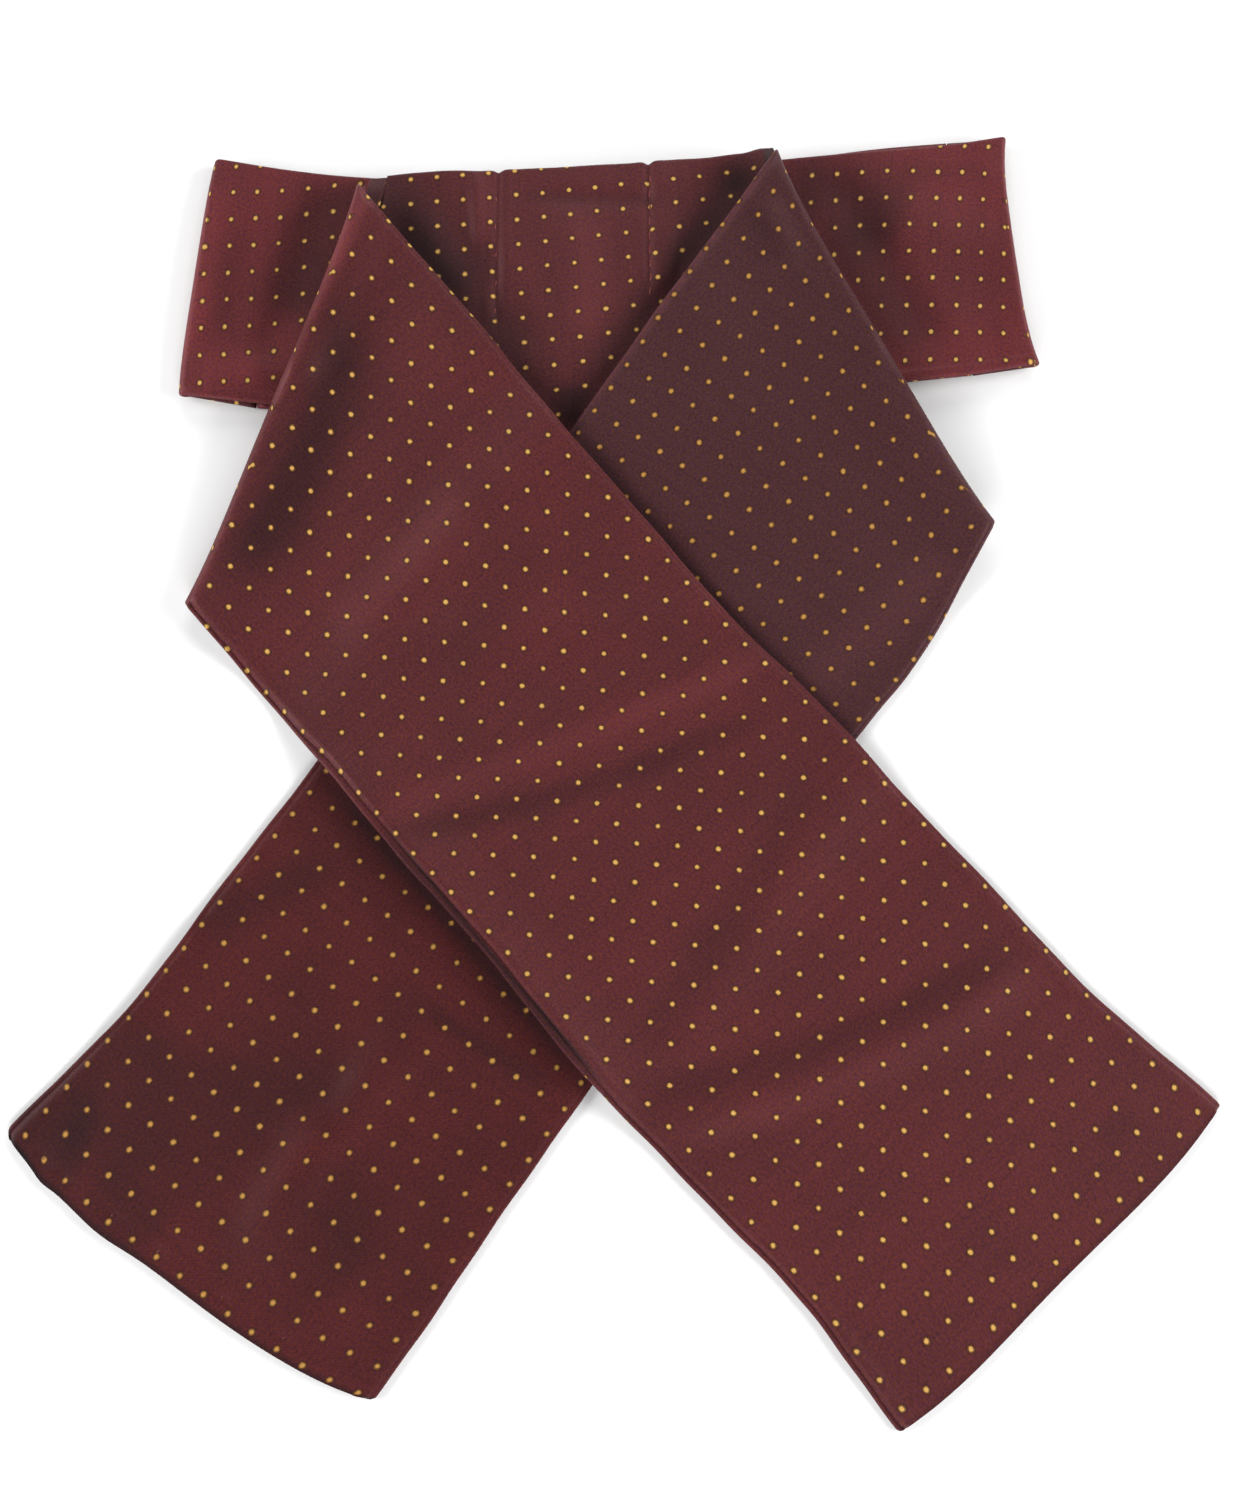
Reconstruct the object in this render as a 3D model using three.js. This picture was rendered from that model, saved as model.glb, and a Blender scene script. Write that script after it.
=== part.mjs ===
// A stock tie laid flat: a pressed neckband folded into a ring, and a broad scarf that lies across
// its front and folds down at both sides into two tails that cross.
// Millimetres, +Z up. The tie lies on z = 0 and the origin is the centre of its footprint.
// Each stretch of cloth is one closed wall. Each layer lies on the ones below it and drapes over
// their edges.
import * as THREE from 'three';

// ---- driving dimensions ------------------------------------------------------------------------
const CLOTH = 1.3; // a pressed tube of silk with its interlining
const LAYER_GAP = 0.5; // air between layers that lie on each other
const LAYER_STEP = CLOTH + LAYER_GAP;
const EDGE_ROUND = 0.6; // how far a pressed edge rounds in
const BAND_RUN = 30; // how far a layer takes to come down past an edge of the neckband
const SCARF_RUN = 20; // the same past an edge of the scarf
const CELL = 7; // usual size of a mesh cell
const FOOTPRINT_CENTRE = { x: -0.05, y: -0.65 }; // in the plan that the sections below are drawn in
const BEND_STEPS = 7; // facets round a fold
const UNDER_STEPS = 3; // facets in the cloth that returns under a fold

// Sections of each stretch, in order along it. A and B are the section's ends in plan, and bow is how
// far its middle bulges to the right of the way from A to B.

// Neckband front, from the left fold to the right fold. A is the top edge and B the bottom edge.
const NECKBAND_FRONT = [
  { ax: -95.5, ay: 142.0, bx: -103.2, by: 82.0, bow: 1.7 },
  { ax: -78.5, ay: 138.8, bx: -82.5, by: 79.4, bow: 0.5 },
  { ax: -60.5, ay: 136.4, bx: -62.5, by: 77.4, bow: 0 },
  { ax: -33.5, ay: 134.6, bx: -34.5, by: 76.0, bow: 0 },
  { ax: 1.5, ay: 136.6, bx: 1.5, by: 77.2, bow: 0 },
  { ax: 31.5, ay: 140.2, bx: 35.5, by: 81.0, bow: 0 },
  { ax: 59.5, ay: 143.4, bx: 67.5, by: 84.4, bow: 0.3 },
  { ax: 79.5, ay: 145.6, bx: 83.5, by: 86.4, bow: 0.6 },
  { ax: 94.2, ay: 148.2, bx: 100.2, by: 89.8, bow: 1.2 },
];

// Neckband back, from the left, ending in a square tab. A is the top edge and B the bottom edge.
const NECKBAND_BACK_LEFT = [
  { ax: -82.6, ay: 138.9, bx: -84.6, by: 77.9, bow: 0 },
  { ax: -60.5, ay: 135.8, bx: -61.0, by: 75.9, bow: 0 },
  { ax: -33.5, ay: 133.8, bx: -34.5, by: 75.0, bow: 0 },
  { ax: 1.5, ay: 136.0, bx: 1.5, by: 76.6, bow: 0 },
  { ax: 31.5, ay: 141.0, bx: 34.0, by: 80.6, bow: 0 },
  { ax: 48.5, ay: 143.6, bx: 51.0, by: 82.6, bow: 0 },
];

// Neckband back, from its hidden end under the scarf to the right. A is the top edge, B the bottom edge.
const NECKBAND_BACK_RIGHT = [
  { ax: -25.0, ay: 134.4, bx: -26.0, by: 76.4, bow: 0 },
  { ax: 1.5, ay: 136.2, bx: 1.5, by: 77.6, bow: 0 },
  { ax: 31.5, ay: 140.0, bx: 35.0, by: 81.0, bow: 0 },
  { ax: 59.5, ay: 144.5, bx: 66.0, by: 84.6, bow: 0 },
  { ax: 80.6, ay: 147.0, bx: 84.6, by: 86.9, bow: 0.5 },
];

// Centre of the scarf, from under the left fold to under the right. A is the top edge, B the bottom edge.
const CROSSOVER_CENTRE = [
  { ax: -54.2, ay: 136.0, bx: -75.8, by: 32.7, bow: 0 },
  { ax: -44.0, ay: 136.8, bx: -60.0, by: 34.3, bow: 0 },
  { ax: -30.0, ay: 136.7, bx: -42.0, by: 36.1, bow: 0 },
  { ax: -14.0, ay: 137.9, bx: -20.0, by: 38.4, bow: 0 },
  { ax: 4.0, ay: 138.9, bx: 4.0, by: 40.8, bow: 0 },
  { ax: 20.0, ay: 140.4, bx: 28.0, by: 43.3, bow: 0 },
  { ax: 30.0, ay: 141.9, bx: 48.0, by: 45.3, bow: 0 },
  { ax: 35.0, ay: 142.3, bx: 66.5, by: 47.2, bow: 0 },
];

// Lower tail, from the right fold to its end. A is its outer edge and B its inner edge, at the V.
const TAIL_UNDER = [
  { ax: 88.0, ay: 49.4, bx: 39.5, by: 141.0, bow: 0 },
  { ax: 70.5, ay: 18.6, bx: 15.5, by: 107.0, bow: 0 },
  { ax: 51.0, ay: -5.9, bx: -8.5, by: 72.0, bow: 0 },
  { ax: 31.0, ay: -31.6, bx: -34.0, by: 38.7, bow: 0 },
  { ax: 11.0, ay: -57.5, bx: -59.5, by: 5.0, bow: 0 },
  { ax: -10.5, ay: -86.0, bx: -83.0, by: -27.0, bow: -0.5 },
  { ax: -31.5, ay: -116.4, bx: -106.0, by: -58.5, bow: -2.0 },
  { ax: -52.7, ay: -143.0, bx: -133.1, by: -88.5, bow: -4.5 },
];

// Upper tail, from the left fold to its end. A is its outer edge and B its inner edge, at the V.
const TAIL_OVER = [
  { ax: -98.1, ay: 30.4, bx: -59.5, by: 132.1, bow: 0 },
  { ax: -75.5, ay: 3.7, bx: -34.0, by: 100.6, bow: 0 },
  { ax: -51.5, ay: -24.2, bx: -7.0, by: 69.5, bow: 0 },
  { ax: -28.5, ay: -50.0, bx: 20.0, by: 38.0, bow: 0 },
  { ax: -4.2, ay: -78.0, bx: 47.5, by: 7.0, bow: 0 },
  { ax: 19.5, ay: -102.5, bx: 75.5, by: -24.5, bow: 0.5 },
  { ax: 42.0, ay: -126.0, bx: 104.0, by: -55.5, bow: 1.5 },
  { ax: 60.5, ay: -149.6, bx: 133.0, by: -81.8, bow: 2.4 },
];

// Folds. The cloth returns under each fold from the start points to the end points, one at end A of
// the fold line and one at end B. lift is how far the fold stands open there, and soft is how far
// from the fold line the upper layer takes to settle.
const FOLDS = {
  bandLeft: {
    a: { startX: -93.0, startY: 141.7, endX: -83.0, endY: 139.0, lift: 0.7 },
    b: { startX: -100.6, startY: 81.0, endX: -85.0, endY: 77.9, lift: 0.7 },
    soft: 12,
  },
  bandRight: {
    a: { startX: 91.6, startY: 148.4, endX: 81.0, endY: 147.0, lift: 0.7 },
    b: { startX: 97.6, startY: 89.4, endX: 85.0, endY: 86.9, lift: 0.7 },
    soft: 12,
  },
  tailUnder: {
    a: { startX: 85.2, startY: 49.1, endX: 66.9, endY: 47.2, lift: 0.9 },
    b: { startX: 36.6, startY: 142.0, endX: 35.4, endY: 142.2, lift: 1.8 },
    soft: 16,
  },
  tailOver: {
    a: { startX: -95.4, startY: 30.7, endX: -76.2, endY: 32.7, lift: 0.9 },
    b: { startX: -56.4, startY: 134.9, endX: -54.6, endY: 135.8, lift: 2.0 },
    soft: 16,
  },
};
const FOLD_REACH = 2.7; // from a fold line to where its bend starts
const BOW_SHAPE = 4; // power of a bowed section's curve, flat in the middle and round at its ends

// Silk in two weights of shade: the scarf and the neckband
const SILK = { roughness: 0.55, metalness: 0 };
const SCARF_COLOUR = 0x64343a;
const BAND_COLOUR = 0x5c2f36;

// ---- sections and outlines ---------------------------------------------------------------------
const mix = (from, to, share) => from + (to - from) * share;

// A stretch's two edges as smooth curves; the third coordinate carries the bow
function edges(table) {
  return {
    a: new THREE.CatmullRomCurve3(table.map((row) => new THREE.Vector3(row.ax, row.ay, row.bow))),
    b: new THREE.CatmullRomCurve3(table.map((row) => new THREE.Vector3(row.bx, row.by, row.bow))),
  };
}

// The plan point of a stretch: along goes from 0 to 1 down its length, across from 0 at A to 1 at B
function planPoint(stretch, along, across) {
  const a = stretch.a.getPoint(along);
  const b = stretch.b.getPoint(along);
  const way = new THREE.Vector2(b.x - a.x, b.y - a.y).normalize();
  const bulge = mix(a.z, b.z, across) * (1 - (2 * across - 1) ** BOW_SHAPE);
  return new THREE.Vector2(
    mix(a.x, b.x, across) + way.y * bulge,
    mix(a.y, b.y, across) - way.x * bulge,
  );
}

// The closed outline of a stretch in plan
function outline(stretch) {
  const steps = 24;
  const ends = 8;
  const points = [];
  for (let i = 0; i < steps; i += 1) points.push(planPoint(stretch, i / steps, 0));
  for (let i = 0; i < ends; i += 1) points.push(planPoint(stretch, 1, i / ends));
  for (let i = steps; i > 0; i -= 1) points.push(planPoint(stretch, i / steps, 1));
  for (let i = ends; i > 0; i -= 1) points.push(planPoint(stretch, 0, i / ends));
  return points;
}

// Distance from a plan point to an outline, 0 inside it
function distanceOutside(points, x, y) {
  let nearest = Infinity;
  let inside = false;
  for (let i = 0, j = points.length - 1; i < points.length; j = i, i += 1) {
    const p = points[j];
    const q = points[i];
    if (p.y > y !== q.y > y && x < mix(p.x, q.x, (y - p.y) / (q.y - p.y))) inside = !inside;
    const length2 = (q.x - p.x) ** 2 + (q.y - p.y) ** 2;
    const share = THREE.MathUtils.clamp(((x - p.x) * (q.x - p.x) + (y - p.y) * (q.y - p.y)) / length2, 0, 1);
    nearest = Math.min(nearest, Math.hypot(x - mix(p.x, q.x, share), y - mix(p.y, q.y, share)));
  }
  return inside ? 0 : nearest;
}

// Eases from 0 to 1 in two parabolas
function ease(value) {
  const t = THREE.MathUtils.clamp(value, 0, 1);
  return t < 0.5 ? 2 * t * t : 1 - 2 * (1 - t) ** 2;
}

// ---- the stack of layers, from the table up ----------------------------------------------------
const EDGE_CLEAR = 1; // a layer keeps its full height this far past an edge below it
const FRONT = edges(NECKBAND_FRONT);
const UNDER = edges(TAIL_UNDER);
const OVER = edges(TAIL_OVER);

// The back layers and the centre reach to the fold lines once their returns are counted in
const backLeftWhole = edges([NECKBAND_FRONT[0], ...NECKBAND_BACK_LEFT]);
const backRightWhole = edges([...NECKBAND_BACK_RIGHT, NECKBAND_FRONT.at(-1)]);
const foldAsSection = (row) => ({ ax: row.bx, ay: row.by, bx: row.ax, by: row.ay, bow: 0 });
const centreWhole = edges([foldAsSection(TAIL_OVER[0]), ...CROSSOVER_CENTRE, foldAsSection(TAIL_UNDER[0])]);

const LAYERS = [
  { name: 'backLeft', outline: outline(backLeftWhole), run: BAND_RUN },
  { name: 'backRight', outline: outline(backRightWhole), run: BAND_RUN },
  { name: 'front', outline: outline(FRONT), run: BAND_RUN },
  { name: 'centre', outline: outline(centreWhole), run: SCARF_RUN },
  { name: 'under', outline: outline(UNDER), run: SCARF_RUN },
  { name: 'over', outline: outline(OVER), run: SCARF_RUN },
];

// Height of a layer's underside over the table
function underside(name, point) {
  let height = 0;
  for (const layer of LAYERS) {
    if (layer.name === name) return height;
    const past = distanceOutside(layer.outline, point.x, point.y) - EDGE_CLEAR;
    height += LAYER_STEP * (1 - ease(past / layer.run));
  }
  throw new Error(`no layer ${name}`);
}

// ---- rows of a wall ----------------------------------------------------------------------------
// A row crosses the cloth. It holds the outer and inner face's points from edge A to edge B, and the
// two rounded edge points between the faces.
function makeRow(count, facePoint) {
  const outer = [];
  const inner = [];
  for (let i = 0; i <= count; i += 1) {
    outer.push(facePoint(i / count, 'outer'));
    inner.push(facePoint(i / count, 'inner'));
  }
  const edgePoint = (k) => outer[k].clone().lerp(inner[k], 0.5);
  const [edgeA, edgeB] = [edgePoint(0), edgePoint(count)];
  for (const face of [outer, inner]) {
    const width = face[0].distanceTo(face[count]);
    const start = face[0].clone().lerp(face[count], EDGE_ROUND / width);
    face[count] = face[count].clone().lerp(face[0], EDGE_ROUND / width);
    face[0] = start;
  }
  return { outer, inner, edgeA, edgeB };
}

// A row of cloth that lies flat on a layer's underside height, with an extra lift
function layRow(count, name, planAt, liftAt, faceUp) {
  return makeRow(count, (across, face) => {
    const p = planAt(across);
    const onTop = (face === 'outer') === faceUp;
    return new THREE.Vector3(p.x, p.y, underside(name, p) + liftAt(across, p) + (onTop ? CLOTH : 0));
  });
}

// One closed wall from its rows
function wall(rows) {
  const ring = rows.map((row) => [...row.outer, row.edgeB, ...[...row.inner].reverse(), row.edgeA]);
  const size = ring[0].length;
  const count = rows[0].outer.length;
  const positions = ring.flat().flatMap((p) => [p.x, p.y, p.z]);
  const index = [];
  for (let r = 0; r + 1 < ring.length; r += 1) {
    for (let k = 0; k < size; k += 1) {
      const next = (k + 1) % size;
      const [p, q, s, t] = [r * size + k, r * size + next, (r + 1) * size + next, (r + 1) * size + k];
      index.push(p, s, q, p, t, s);
    }
  }
  // an end is closed by quads between its faces and a triangle at each rounded edge
  const closeEnd = (start, flip) => {
    const face = (a, b, c) => index.push(start + a, start + (flip ? c : b), start + (flip ? b : c));
    const inner = (k) => 2 * count - k;
    for (let k = 0; k + 1 < count; k += 1) {
      face(k, k + 1, inner(k + 1));
      face(k, inner(k + 1), inner(k));
    }
    face(count - 1, count, inner(count - 1));
    face(0, inner(0), size - 1);
  };
  closeEnd(0, false);
  closeEnd((ring.length - 1) * size, true);
  const geometry = new THREE.BufferGeometry();
  geometry.setAttribute('position', new THREE.Float32BufferAttribute(positions, 3));
  geometry.setIndex(index);
  geometry.computeVertexNormals();
  return facingOut(geometry);
}

// Turns the triangles round if they enclose a negative volume
function facingOut(geometry) {
  const index = geometry.getIndex();
  const position = geometry.getAttribute('position');
  const corner = (k) => new THREE.Vector3().fromBufferAttribute(position, index.getX(k));
  let volume = 0;
  for (let k = 0; k < index.count; k += 3) volume += corner(k).dot(corner(k + 1).cross(corner(k + 2)));
  if (volume < 0) {
    for (let k = 0; k < index.count; k += 3) {
      const second = index.getX(k + 1);
      index.setX(k + 1, index.getX(k + 2));
      index.setX(k + 2, second);
    }
    geometry.computeVertexNormals();
  }
  return geometry;
}

// ---- folds -------------------------------------------------------------------------------------
// Rows round a fold, from the end of the cloth that returns under it to the start of the upper layer.
// foldAt gives the fold line, upperRow is the first row of the upper layer, and lower names the layer
// that the returning cloth belongs to.
function foldRows(count, fold, lower, foldAt, upperAt, upperRow) {
  const spot = (end, across) => new THREE.Vector2(
    mix(fold.a[`${end}X`], fold.b[`${end}X`], across),
    mix(fold.a[`${end}Y`], fold.b[`${end}Y`], across),
  );
  const bowOf = (across) => {
    const line = foldAt(across);
    return new THREE.Vector2(
      line.x - mix(foldAt(0).x, foldAt(1).x, across),
      line.y - mix(foldAt(0).y, foldAt(1).y, across),
    );
  };
  const lowerAt = (share) => (across) => {
    const start = spot('start', across).add(bowOf(across));
    return start.lerp(spot('end', across), share);
  };
  const rows = [];
  for (let i = UNDER_STEPS; i >= 1; i -= 1) {
    rows.push(layRow(count, lower, lowerAt(i / UNDER_STEPS), () => 0, false));
  }
  const lowerRow = layRow(count, lower, lowerAt(0), () => 0, false);
  rows.push(lowerRow);
  const innerReach = 1 - CLOTH / FOLD_REACH;
  for (let i = BEND_STEPS - 1; i >= 1; i -= 1) {
    const turn = (Math.PI * i) / BEND_STEPS;
    const share = (1 - Math.cos(turn)) / 2;
    rows.push(makeRow(count, (across, face) => {
      const k = Math.round(across * count);
      const reach = (face === 'outer' ? 1 : innerReach) * Math.sin(turn);
      const p = upperAt(across).lerp(lowerAt(0)(across), share).lerp(foldAt(across), reach);
      return new THREE.Vector3(p.x, p.y, mix(upperRow[face][k].z, lowerRow[face][k].z, share));
    }));
  }
  return rows;
}

// How far the upper layer stands up from the layer below near a fold
function foldLift(fold, foldAt) {
  const [a, b] = [foldAt(0), foldAt(1)];
  const length = Math.hypot(b.x - a.x, b.y - a.y);
  return (across, p) => {
    const away = Math.abs((b.x - a.x) * (p.y - a.y) - (b.y - a.y) * (p.x - a.x)) / length;
    return mix(fold.a.lift, fold.b.lift, across) * (1 - ease((away - FOLD_REACH) / fold.soft));
  };
}

// The rows of a layer that lies face up, between two shares of its length
function upperRows(stretch, name, count, steps, startAlong, endAlong, liftAt) {
  const rows = [];
  for (let i = 0; i <= steps; i += 1) {
    const along = mix(startAlong, endAlong, i / steps);
    rows.push(layRow(count, name, (across) => planPoint(stretch, along, across), liftAt, true));
  }
  return rows;
}

// A last row that rounds off a free end
function roundEnd(row, away) {
  const shrink = 0.25;
  const face = (points, others) => points.map((p, k) => {
    const q = p.clone().lerp(others[k], shrink);
    return new THREE.Vector3(q.x + away.x, q.y + away.y, q.z);
  });
  const move = (p) => new THREE.Vector3(p.x + away.x, p.y + away.y, p.z);
  return {
    outer: face(row.outer, row.inner),
    inner: face(row.inner, row.outer),
    edgeA: move(row.edgeA),
    edgeB: move(row.edgeB),
  };
}

// The step from a free end's last full row to its rounded tip
function endStep(from, to) {
  const mid = Math.floor(from.outer.length / 2);
  const way = to.outer[mid].clone().sub(from.outer[mid]);
  way.z = 0;
  return way.normalize().multiplyScalar(EDGE_ROUND);
}

const lengthOf = (stretch) => Math.max(stretch.a.getLength(), stretch.b.getLength());
const widthOf = (stretch) => stretch.a.getPoint(0.5).distanceTo(stretch.b.getPoint(0.5));
const cells = (length) => Math.ceil(length / CELL);

// ---- the stretches -----------------------------------------------------------------------------
function mesh(name, geometry, colour) {
  const material = new THREE.MeshStandardMaterial({ color: colour, ...SILK });
  const item = new THREE.Mesh(geometry, material);
  item.name = name;
  return item;
}

// A tail: the cloth that returns under its fold, the fold, and the upper layer out to the hem
function tail(name, layer, stretch, fold) {
  const count = cells(widthOf(stretch));
  const steps = cells(lengthOf(stretch));
  const foldAt = (v) => planPoint(stretch, 0, v);
  const liftAt = foldLift(fold, foldAt);
  const startAlong = FOLD_REACH / lengthOf(stretch);
  const endAlong = 1 - EDGE_ROUND / lengthOf(stretch);
  const upper = upperRows(stretch, layer, count, steps, startAlong, endAlong, liftAt);
  const upperAt = (v) => planPoint(stretch, startAlong, v);
  const under = foldRows(count, fold, 'centre', foldAt, upperAt, upper[0]);
  const hem = roundEnd(upper.at(-1), endStep(upper.at(-2), upper.at(-1)));
  return mesh(name, wall([...under, ...upper, hem]), SCARF_COLOUR);
}

// A plain stretch with no fold, ended at both seams or free ends
function plainStretch(name, layer, table, colour) {
  const stretch = edges(table);
  const count = cells(widthOf(stretch));
  const rows = upperRows(stretch, layer, count, cells(lengthOf(stretch)), 0, 1, () => 0);
  return mesh(name, wall(rows), colour);
}

// The neckband's front with a fold at each side
function neckbandFront() {
  const stretch = FRONT;
  const count = cells(widthOf(stretch));
  const steps = cells(lengthOf(stretch));
  const reach = FOLD_REACH / lengthOf(stretch);
  const leftAt = (v) => planPoint(stretch, 0, v);
  const rightAt = (v) => planPoint(stretch, 1, v);
  const leftLift = foldLift(FOLDS.bandLeft, leftAt);
  const rightLift = foldLift(FOLDS.bandRight, rightAt);
  const liftAt = (v, p) => leftLift(v, p) + rightLift(v, p);
  const upper = upperRows(stretch, 'front', count, steps, reach, 1 - reach, liftAt);
  const startAt = (v) => planPoint(stretch, reach, v);
  const endAt = (v) => planPoint(stretch, 1 - reach, v);
  const left = foldRows(count, FOLDS.bandLeft, 'backLeft', leftAt, startAt, upper[0]);
  const right = foldRows(count, FOLDS.bandRight, 'backRight', rightAt, endAt, upper.at(-1));
  return mesh('neckband_front', wall([...left, ...upper, ...right.reverse()]), BAND_COLOUR);
}

const tie = new THREE.Group();
tie.add(plainStretch('neckband_back_left', 'backLeft', NECKBAND_BACK_LEFT, BAND_COLOUR));
tie.add(plainStretch('neckband_back_right', 'backRight', NECKBAND_BACK_RIGHT, BAND_COLOUR));
tie.add(neckbandFront());
tie.add(plainStretch('crossover_centre', 'centre', CROSSOVER_CENTRE, SCARF_COLOUR));
tie.add(tail('tail_under', 'under', UNDER, FOLDS.tailUnder));
tie.add(tail('tail_over', 'over', OVER, FOLDS.tailOver));
tie.position.set(-FOOTPRINT_CENTRE.x, -FOOTPRINT_CENTRE.y, 0);

export default tie;
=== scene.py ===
import math
import random
import bmesh
import bpy
import numpy as np
from mathutils import Matrix, Vector


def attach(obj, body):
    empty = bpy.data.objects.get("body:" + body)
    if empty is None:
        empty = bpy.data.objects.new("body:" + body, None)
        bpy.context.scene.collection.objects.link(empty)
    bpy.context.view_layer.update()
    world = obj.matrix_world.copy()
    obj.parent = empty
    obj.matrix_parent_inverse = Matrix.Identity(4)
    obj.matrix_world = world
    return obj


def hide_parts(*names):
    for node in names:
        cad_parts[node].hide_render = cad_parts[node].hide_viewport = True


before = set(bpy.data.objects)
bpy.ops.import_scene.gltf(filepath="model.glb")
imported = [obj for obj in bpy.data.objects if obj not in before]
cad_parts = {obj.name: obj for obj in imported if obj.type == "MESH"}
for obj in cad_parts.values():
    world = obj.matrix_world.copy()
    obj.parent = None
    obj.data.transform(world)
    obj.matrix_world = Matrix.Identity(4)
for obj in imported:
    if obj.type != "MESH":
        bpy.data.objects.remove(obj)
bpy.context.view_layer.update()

# A stock tie laid flat. Plan measures are in millimetres, as the sections are drawn, and each mesh is
# turned into metres at the end. The cloth is pressed tubes of silk that lie on each other.
MM = 0.001
PRESSED = 1.3  # a pressed tube over both its faces
PLY = 0.3  # one face of it
AIR = 0.5  # between tubes that lie on each other
STEP = PRESSED + AIR
BAND_RUN = 64  # how far cloth takes to come down past an edge of the neckband
SCARF_RUN = 20  # the same past an edge of the scarf
EDGE_CLEAR = 1  # how far past an edge the cloth above still lies level
FOLD_REACH = 2.7  # from a fold line to where its bend starts
FOLD_BENDS = 13  # steps round the bend
RETURN_ROWS = 10  # painted shade on the cloth that returns under a fold
RETURN_PAINTED_SHADE = -0.5  # how dark that cloth is
ROLL = 0.65  # how far a pressed edge rolls in
EDGE_BENDS = 6  # steps round it
EDGE_TURN = 0.4  # how much of the pattern it takes up
EDGE_INSETS = [0.65, 1.0, 1.35, 1.7, 2.1, 2.5, 3.0, 3.6, 4.4, 5.4]  # columns beside it
BACK_COLUMNS = 14  # from an edge to the seam down the middle of a tube's back
BESIDE_SEAM = 0.975  # where the last column before that seam lies
SEAM_DIP = 0.2  # how deep the seam lies
HEM_REACH = 0.6  # how far a hem's rounded end stands past its last row
HEM_ROUND = [(0.12, 0.45), (0.3, 0.8), (0.5, 1.0)]  # how far each row turns in and how far it reaches
HEM_SHADE_RUN = 2.2  # how far a hem's shade reaches
TAIL_COLUMNS = 50  # across a tail's face, between the insets
TAIL_CELL = 1.7  # from row to row
BAND_COLUMNS = 36
BAND_CELL = 1.8
HEM_FINE = 6  # how far from a hem the rows lie close
FINE_STEP = 0.45  # from row to row there and at grooves
SEWN_GAP = 0.02  # points that lie closer are sewn together
DRAW_IN = 0.00267  # cloth that stands up draws in by this share for each millimetre of its rise,
DRAW_TO = (1.5, -75.8)  # towards this place on the plan
PLAN_SHIFT = (0.05, 0.65)  # from the plan of the sections to the footprint's centre
DOT_ALONG = 6.6  # from dot to dot along the strip
DOT_ACROSS = 6.3  # and across it

# ---- camera ------------------------------------------------------------------------------------
CAMERA_TILT = math.radians(10.9)
CAMERA_AIM = Vector((0.00155, -0.00255, 0))
CAMERA_AWAY = 0.3876


def link(name, data):
    item = bpy.data.objects.new(name, data)
    bpy.context.collection.objects.link(item)
    return item


camera_data = bpy.data.cameras.new("camera")
camera_data.lens = 40.8
camera_data.sensor_width = 36
camera_data.clip_start = 0.01
camera = link("camera", camera_data)
camera.location = CAMERA_AIM + CAMERA_AWAY * Vector((0, -math.sin(CAMERA_TILT), math.cos(CAMERA_TILT)))
camera.rotation_euler = (CAMERA_TILT, 0, 0)
bpy.context.scene.camera = camera

# ---- sections ----------------------------------------------------------------------------------
# Each row crosses a strip: end A x, y, end B x, y, and how far its middle bows to the right. The last
# four numbers place the cloth on its pattern, in dots: along and across at A, then at B.
BAND_FRONT = [  # A is the top edge, B the bottom one, from the left fold to the right fold
    (-97.2, 142.6, -103.2, 82.0, 0.8, -2, -4.37, -2.95, 4.28),
    (-78.5, 139.3, -82.5, 79.4, 0.5, 1.25, -3.82, 0.65, 4.88),
    (-60.5, 137.0, -62.5, 77.4, 0, 4.15, -3.27, 3.85, 5.53),
    (-33.5, 135.0, -34.5, 76.0, 0, 8.7, -3.37, 8.5, 5.43),
    (1.5, 136.6, 1.5, 77.2, 0, 14.47, -3.6, 14.67, 5.1),
    (31.5, 140.2, 35.5, 81.0, 0, 19.35, -3.74, 20.35, 4.86),
    (59.5, 143.2, 67.5, 84.4, 0.3, 23.9, -3.79, 25.85, 4.71),
    (79.5, 145.4, 83.5, 86.4, 0.6, 27.1, -4.04, 28.5, 4.51),
    (95.4, 148.3, 101.0, 89.6, 1.9, 29.68, -4.49, 31.42, 4.01),
]
BAND_BACK_LEFT = [
    (-82.6, 138.9, -84.6, 79.1, 0, 0.5, -4, 0.2, 5.7),
    (-60.5, 135.8, -61.0, 77.0, 0, 3.9, -4, 3.8, 5.6),
    (-33.5, 133.8, -34.5, 75.0, 0, 8.1, -4.1, 7.9, 5.4),
    (1.5, 136.0, 1.5, 76.6, 0, 13.4, -4.2, 13.4, 5.3),
    (31.5, 141.0, 34.0, 80.6, 0, 18.1, -4.2, 18.4, 5.4),
    (48.5, 143.6, 51.0, 82.6, 0, 20.7, -4.2, 21.1, 5.5),
]
BAND_BACK_RIGHT = [
    (-25.0, 134.4, -26.0, 76.4, 0, 0.3, -4.4, 0.2, 4.8),
    (1.5, 136.2, 1.5, 77.6, 0, 4.3, -4.4, 4.4, 4.8),
    (31.5, 140.0, 35.0, 81.0, 0, 8.9, -4.4, 9.5, 4.9),
    (59.5, 144.5, 66.0, 84.6, 0, 13.2, -4.4, 14.2, 5.0),
    (80.6, 147.0, 84.6, 86.9, 0.5, 16.4, -4.4, 17.1, 5.1),
]
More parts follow.
